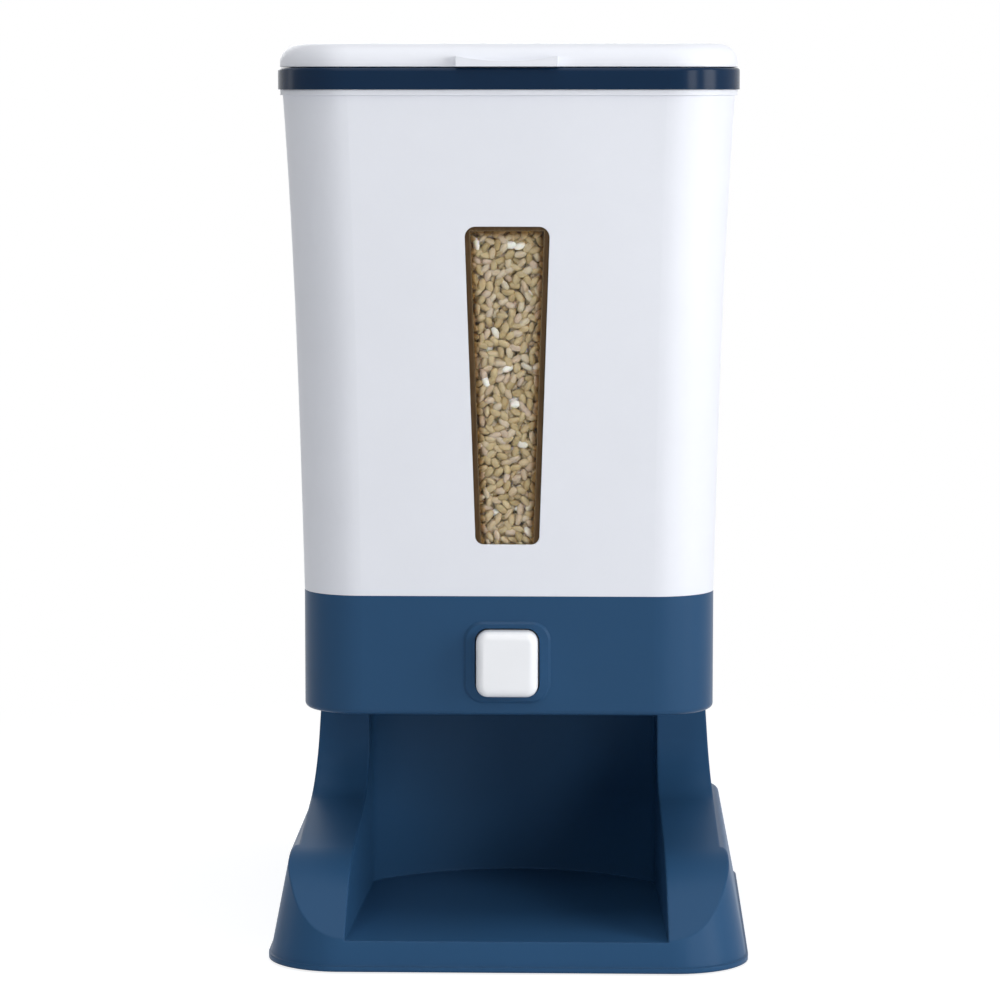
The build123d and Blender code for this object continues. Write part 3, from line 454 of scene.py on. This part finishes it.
# the distance from the window's edge is the lesser of those from its sloping side and from its top
place = add_node(tree, "ShaderNodeTexCoord")
where = add_node(tree, "ShaderNodeSeparateXYZ", {}, {0: (place, "Object")})
half_there = carry(tree, (where, "Z"), (window_foot_z, window_top_z), (window_foot_half, window_top_half))
off_middle = calculate(tree, "ABSOLUTE", (where, "X"))
from_side = calculate(tree, "SUBTRACT", (half_there, 0), (off_middle, 0))
from_top = calculate(tree, "SUBTRACT", window_top_z + painted_border_rise, (where, "Z"))
from_edge = calculate(tree, "MINIMUM", (from_side, 0), (from_top, 0))

# painted shade: the border is streaked dark brown and lets little light through, and its tan tinge of
# painted shade reaches into the pane
in_painted_border = carry(tree, (from_edge, 0), span=painted_border, curve="SMOOTHSTEP")
in_painted_tinge = carry(tree, (from_edge, 0), span=painted_tinge, curve="SMOOTHERSTEP")
shade_streaks = noise(tree, shade_streak_mm, stretch=(1.0, 1.0, shade_streak_scale))
painted_border_tone = mix_colours(tree, (shade_streaks, "Fac"), painted_shade_brown, painted_shade_brown_light)
painted_tinge_tone = mix_colours(tree, (in_painted_tinge, 0), pane_tint, painted_shade_tan)
tone = mix_colours(tree, (in_painted_border, 0), (painted_tinge_tone, 2), (painted_border_tone, 2))
clearness = carry(tree, (in_painted_border, 0), onto=(clear_in_pane, clear_in_painted_border))
tree.links.new(tone.outputs[2], shader.inputs["Base Color"])
tree.links.new(clearness.outputs[0], shader.inputs["Transmission Weight"])
dress(clear_polystyrene, "window_pane")


# ---- Rice --------------------------------------------------------------------------------------
# The bin is filled with short white rice to above the window. The grains lie flat against the pane
# and heap up slightly on top. Dry grains are dull, a little translucent, and a few are chalky white.

bin_foot_z, bin_rim_z = 0.1792, 0.4186
housing_half = np.array([0.0985, 0.113])  # half the plan's width and depth at the bin's foot
plan_corner = 0.029
flare_total, flare_lean, corner_growth = 0.009, 0.6, 0.4
bin_wall = 0.0025
pane_depth = 0.00405  # from the bin's front face in to the back of the pane
rice_level = 0.367
mound_height, mound_half = 0.012, np.array([0.055, 0.065])
ripple_height, ripple_rate = 0.0012, (90, 70)  # shallow waves, in radians per metre along X and Y
grain_half = np.array([0.0031, 0.0019, 0.0014])  # half length, width and thickness
grain_sides, grain_rings, grain_bluntness = 8, 4, 0.8
smallest_grain, largest_grain = 0.88, 1.08  # as shares of the usual grain
seeds = np.random.default_rng(7)


def bin_flare(z):
    """The bin side's outward flare at height z: a straight lean plus a cubic curve, as in the CAD."""
    share = (z - bin_foot_z) / (bin_rim_z - bin_foot_z)
    return flare_total * (flare_lean * share + (1 - flare_lean) * share**3)


def inner_ring(z, inset, turns):
    """Rounded rectangle inside the bin at height z: each point is the corner's centre plus its radius,
    and the centre runs quickly along a straight side as the turn crosses that side's middle."""
    half = housing_half[:, None] + bin_flare(z) - inset
    radius = plan_corner + corner_growth * bin_flare(z) - inset
    way = np.array([np.cos(turns), np.sin(turns)])
    return np.clip(way * 10, -1, 1) * (half - radius) + radius * way


def mound(x, y):
    """Height of the heap's top: a flat level, a low bell in the middle and shallow waves."""
    bell = mound_height * np.exp(-((x / mound_half[0]) ** 2) - (y / mound_half[1]) ** 2)
    return rice_level + bell + ripple_height * np.sin(x * ripple_rate[0] + 1) * np.cos(y * ripple_rate[1])


def grain_form():
    """One grain: rings along its length, whose radius follows a cosine made blunter by a power, with
    a point at each end. Its faces are the ends' triangles and the rings' quads."""
    turn = np.linspace(0, 2 * np.pi, grain_sides, endpoint=False)
    slope = np.linspace(-np.pi / 2, np.pi / 2, grain_rings + 2)[1:-1]
    girth = np.cos(slope)[:, None] ** grain_bluntness
    rings = np.stack(
        [np.sin(slope)[:, None] + 0 * turn, girth * np.cos(turn), girth * np.sin(turn)], axis=-1
    )
    points = np.vstack([rings.reshape(-1, 3), [[-1, 0, 0]], [[1, 0, 0]]]) * grain_half
    low, high = grain_rings * grain_sides, grain_rings * grain_sides + 1
    last = (grain_rings - 1) * grain_sides
    ends = [(low, (i + 1) % grain_sides, i) for i in range(grain_sides)]
    ends += [(high, last + i, last + (i + 1) % grain_sides) for i in range(grain_sides)]
    return points, ends + grid_faces(grain_rings, grain_sides).tolist()


def turned(angles):
    """Rotation matrices from (yaw, tilt, roll) rows: about Z, then Y, then X."""
    (cy, ct, cr), (sy, st, sr) = np.cos(angles).T, np.sin(angles).T
    none, one = np.zeros_like(cy), np.ones_like(cy)
    yaw = np.array([[cy, -sy, none], [sy, cy, none], [none, none, one]])
    tilt = np.array([[ct, none, st], [none, one, none], [-st, none, ct]])
    roll = np.array([[one, none, none], [none, cr, -sr], [none, sr, cr]])
    return np.einsum("abn,bcn,cdn->nad", yaw, tilt, roll)


def spread(low, high, spacing, tries):
    """Points in a rectangle, none nearer than the spacing to another: random ones, thinned."""
    free = seeds.uniform(low, high, (tries, 2))
    kept = np.empty((0, 2))
    for point in free:
        if len(kept) == 0 or ((kept - point) ** 2).sum(axis=1).min() > spacing**2:
            kept = np.vstack([kept, point])
    return kept


def add_grains(name, centres, turns, material):
    """All grains of a layer as one mesh: the one grain's points, sized, turned and moved to each centre,
    with the grain's tone on its points."""
    form, form_faces = grain_form()
    sizes = seeds.uniform(smallest_grain, largest_grain, (len(centres), 1, 3))
    points = np.einsum("nij,nkj->nki", turns, form * sizes) + centres[:, None]
    faces = [
        [corner + number * len(form) for corner in face]
        for number in range(len(centres))
        for face in form_faces
    ]
    piece = add_mesh(name, points.reshape(-1, 3), faces, material, "base")
    tone = piece.data.attributes.new("grain_tone", "FLOAT", "POINT")
    tone.data.foreach_set("value", np.repeat(seeds.random(len(centres)), len(form)).astype(np.float32))


# a grain takes its tone from the ramp, and the few at its end are chalky
grain_tones = (
    (0.0, "#AE986C"),
    (0.25, "#BCA780"),
    (0.55, "#C2AE88"),
    (0.8, "#C3AE9A"),
    (0.95, "#CCBDA2"),
    (0.975, "#F4F0E8"),
)
grain_depth = (0.0036, 0.0028, 0.0018)  # how deep red, green and blue light go in
tree, shader, rice_grain = new_material(
    "polished_short_rice",
    {"IOR": 1.5, "Roughness": 0.42, "Subsurface Weight": 0.6, "Subsurface Radius": grain_depth},
)
tone = add_node(tree, "ShaderNodeAttribute", {"attribute_name": "grain_tone"})
ramp = add_node(tree, "ShaderNodeValToRGB", {}, {"Fac": (tone, "Fac")})
ramp.color_ramp.elements[0].color = linear(grain_tones[0][1])
ramp.color_ramp.elements[1].color = linear(grain_tones[-1][1])
for position, colour in grain_tones[1:]:
    ramp.color_ramp.elements.new(position).color = linear(colour)
tree.links.new(ramp.outputs[0], shader.inputs["Base Color"])

# the heap's body is painted as rice in shade: darker brown than the grains, with darker specks of painted
# shade for the deepest gaps
shade_dark, shade_light, gap_shade_mm = "#8E7040", "#AE935C", 3.5
tree, shader, rice_shade = new_material("rice_in_shade", {"Roughness": 0.8})
place = add_node(tree, "ShaderNodeTexCoord")
gap_shade_specks = add_node(tree, "ShaderNodeTexVoronoi", {"Scale": 1000 / gap_shade_mm}, {"Vector": (place, "Object")})
gap_shade_colour = mix_colours(tree, (gap_shade_specks, "Distance"), shade_dark, shade_light)
tree.links.new(gap_shade_colour.outputs[2], shader.inputs["Base Color"])

# the heap's body, seen only between the grains. Its rings go up the funnel and the bin's wall and in over
# the top, each with its share of the full ring, its height, or none where the mound gives it, and its inset
heap_foot_z, funnel_top_z, heap_shoulder_z = 0.195, 0.27, 0.356
foot_inset, heap_inset, heap_top_inset = 0.04, 0.012, bin_wall + 0.0006
grain_cover = 0.002  # of grains over the heap's body
heap_sides, top_rings = 96, 24
profile = [(1e-3, heap_foot_z, foot_inset), (1.0, heap_foot_z, foot_inset)]
profile += [(1.0, funnel_top_z, heap_inset), (1.0, heap_shoulder_z, heap_inset)]
profile += [(1.0, rice_level - grain_cover, heap_top_inset)]
profile += [(share, None, heap_top_inset) for share in np.linspace(0.97, 0.02, top_rings)]
turns = np.linspace(0, 2 * np.pi, heap_sides, endpoint=False)
rows = []
for share, z, inset in profile:
    ring = share * inner_ring(rice_level if z is None else z, inset, turns)
    height = mound(*ring) - grain_cover if z is None else np.full_like(turns, z)
    rows.append(np.stack([ring[0], ring[1], height], axis=-1))
heap_faces = capped_faces(len(rows), len(turns))
add_mesh("rice_heap", np.concatenate(rows), heap_faces, rice_shade, "base")

# grains at the window, in three layers behind the pane: each touches it or the layer in front
layer_spacings, layer_step, layer_tries = (0.0031, 0.0029, 0.0029), 0.0022, 9000
layer_half, side_cover, top_cover = 0.024, 0.0035, 0.003
pane_gap = 0.0002
yaw_spread, roll_spread = 0.22, 0.5
flat_side_forward = np.array([[1, 0, 0], [0, 0, 1], [0, 1, 0]])
window_low = (-layer_half, window_foot_z - side_cover)
window_high = (layer_half, window_top_z + top_cover)
layers, layer_turns = [], []
for layer, spacing in enumerate(layer_spacings):
    flat = spread(window_low, window_high, spacing, layer_tries)
    share = (flat[:, 1] - window_foot_z) / window_height
    half = window_foot_half + (window_top_half - window_foot_half) * share
    flat = flat[np.abs(flat[:, 0]) < half + side_cover]
    yaw = seeds.normal(0, yaw_spread, len(flat))
    tilt = seeds.uniform(0, np.pi, len(flat))
    roll = seeds.normal(0, roll_spread, len(flat))
    matrices = turned(np.stack([yaw, tilt, roll], axis=-1)) @ flat_side_forward
    thickness = np.sqrt(((matrices[:, 1] * grain_half * largest_grain) ** 2).sum(axis=1))
    pane_back = -(housing_half[1] + bin_flare(flat[:, 1])) + pane_depth
    y = pane_back + pane_gap + thickness + layer * layer_step
    layers.append(np.stack([flat[:, 0], y, flat[:, 1]], axis=-1))
    layer_turns.append(matrices)
add_grains("rice_at_window", np.concatenate(layers), np.concatenate(layer_turns), rice_grain)

# grains on the heap's top, out to the bin's wall
top_half, top_spacing, top_tries = np.array([0.105, 0.120]), 0.0034, 12000
wall_room = 0.0035  # from the bin's inner wall to the middle of the outermost grain
tilt_spread, roll_spread = 0.25, 0.4
grain_sink, grain_rise = 0.001, 0.0006
flat = spread(-top_half, top_half, top_spacing, top_tries)
room_half = housing_half + bin_flare(rice_level) - bin_wall - wall_room
room_corner = plan_corner + corner_growth * bin_flare(rice_level) - bin_wall - wall_room
past = np.maximum(np.abs(flat) - (room_half - room_corner), 0)
flat = flat[np.hypot(*past.T) < room_corner]
yaw = seeds.uniform(0, 2 * np.pi, len(flat))
tilt = seeds.normal(0, tilt_spread, len(flat))
roll = seeds.normal(0, roll_spread, len(flat))
height = mound(*flat.T) + seeds.uniform(-grain_sink, grain_rise, len(flat))
top = np.stack([flat[:, 0], flat[:, 1], height], axis=-1)
add_grains("rice_on_top", top, turned(np.stack([yaw, tilt, roll], axis=-1)), rice_grain)


# ---- Collar ring -------------------------------------------------------------------------------
# The navy collar clips on the bin's rim and carries the lid's hinge. It comes from a polished mould and
# has a darker navy pigment than the stand, and it shows the lamps as narrow highlights on its corners.

collar_navy = "#0A2743"

polished_navy = moulded_plastic(
    "moulded_polished_navy_polypropylene",
    collar_navy,
    roughness=0.2,
    specular=0.12,
    relief_mm=0.002,
    edge_mm=0.4,
)
dress(polished_navy, "collar_ring")


# ---- Lid and liner -----------------------------------------------------------------------------
# The lid is white polypropylene with a large soft edge and a thumb tab, and its liner of the same
# plastic is welded in from below.

dress(white_polypropylene, "lid", "lid_liner")
